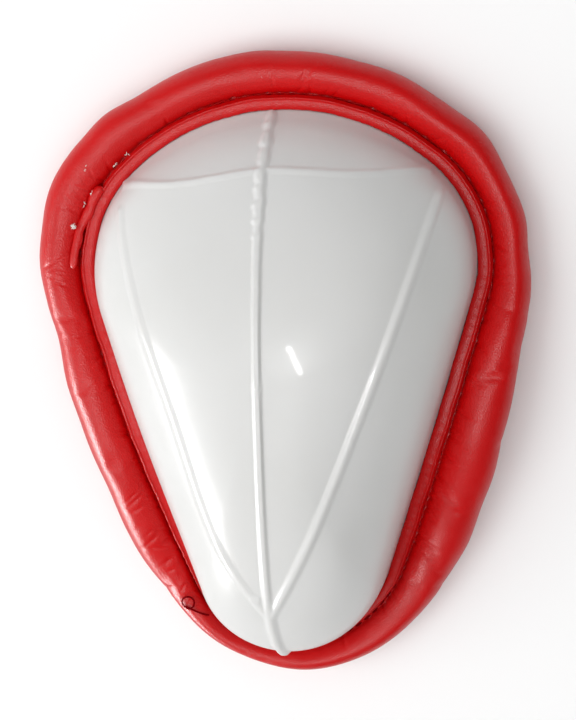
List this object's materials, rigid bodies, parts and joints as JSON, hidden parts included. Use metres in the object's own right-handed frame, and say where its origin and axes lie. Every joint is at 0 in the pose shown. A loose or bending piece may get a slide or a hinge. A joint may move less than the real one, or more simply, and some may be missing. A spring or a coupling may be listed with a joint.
{
  "type": "groin protector",
  "caption": "Moulded plastic groin cup with a ribbed dome, its flange sewn into a stuffed red leatherette edge roll.",
  "frame": {"origin": "under the middle of the whole object, on the surface that it lies on, dome up", "axes": "+Z the way the dome points, away from the wearer; +Y towards the top of the cup; +X to the right seen from the front"},
  "size_m": [0.14, 0.1836, 0.0579],
  "materials": {
    "shell_plastic": "gloss white injection moulding, slightly translucent",
    "red_leather": "satin red artificial leather with a fine grain",
    "foam": "matt open cell foam",
    "thread": "twisted dark red sewing thread"
  },
  "bodies": {
    "root": {"cup_shell": "shell_plastic", "foam_core": "foam", "rim_cover": "red_leather", "front_welt": "red_leather", "rear_welt": "red_leather", "cover_tail": "red_leather", "front_thread": "thread", "rear_thread": "thread"}
  },
  "joints": []
}
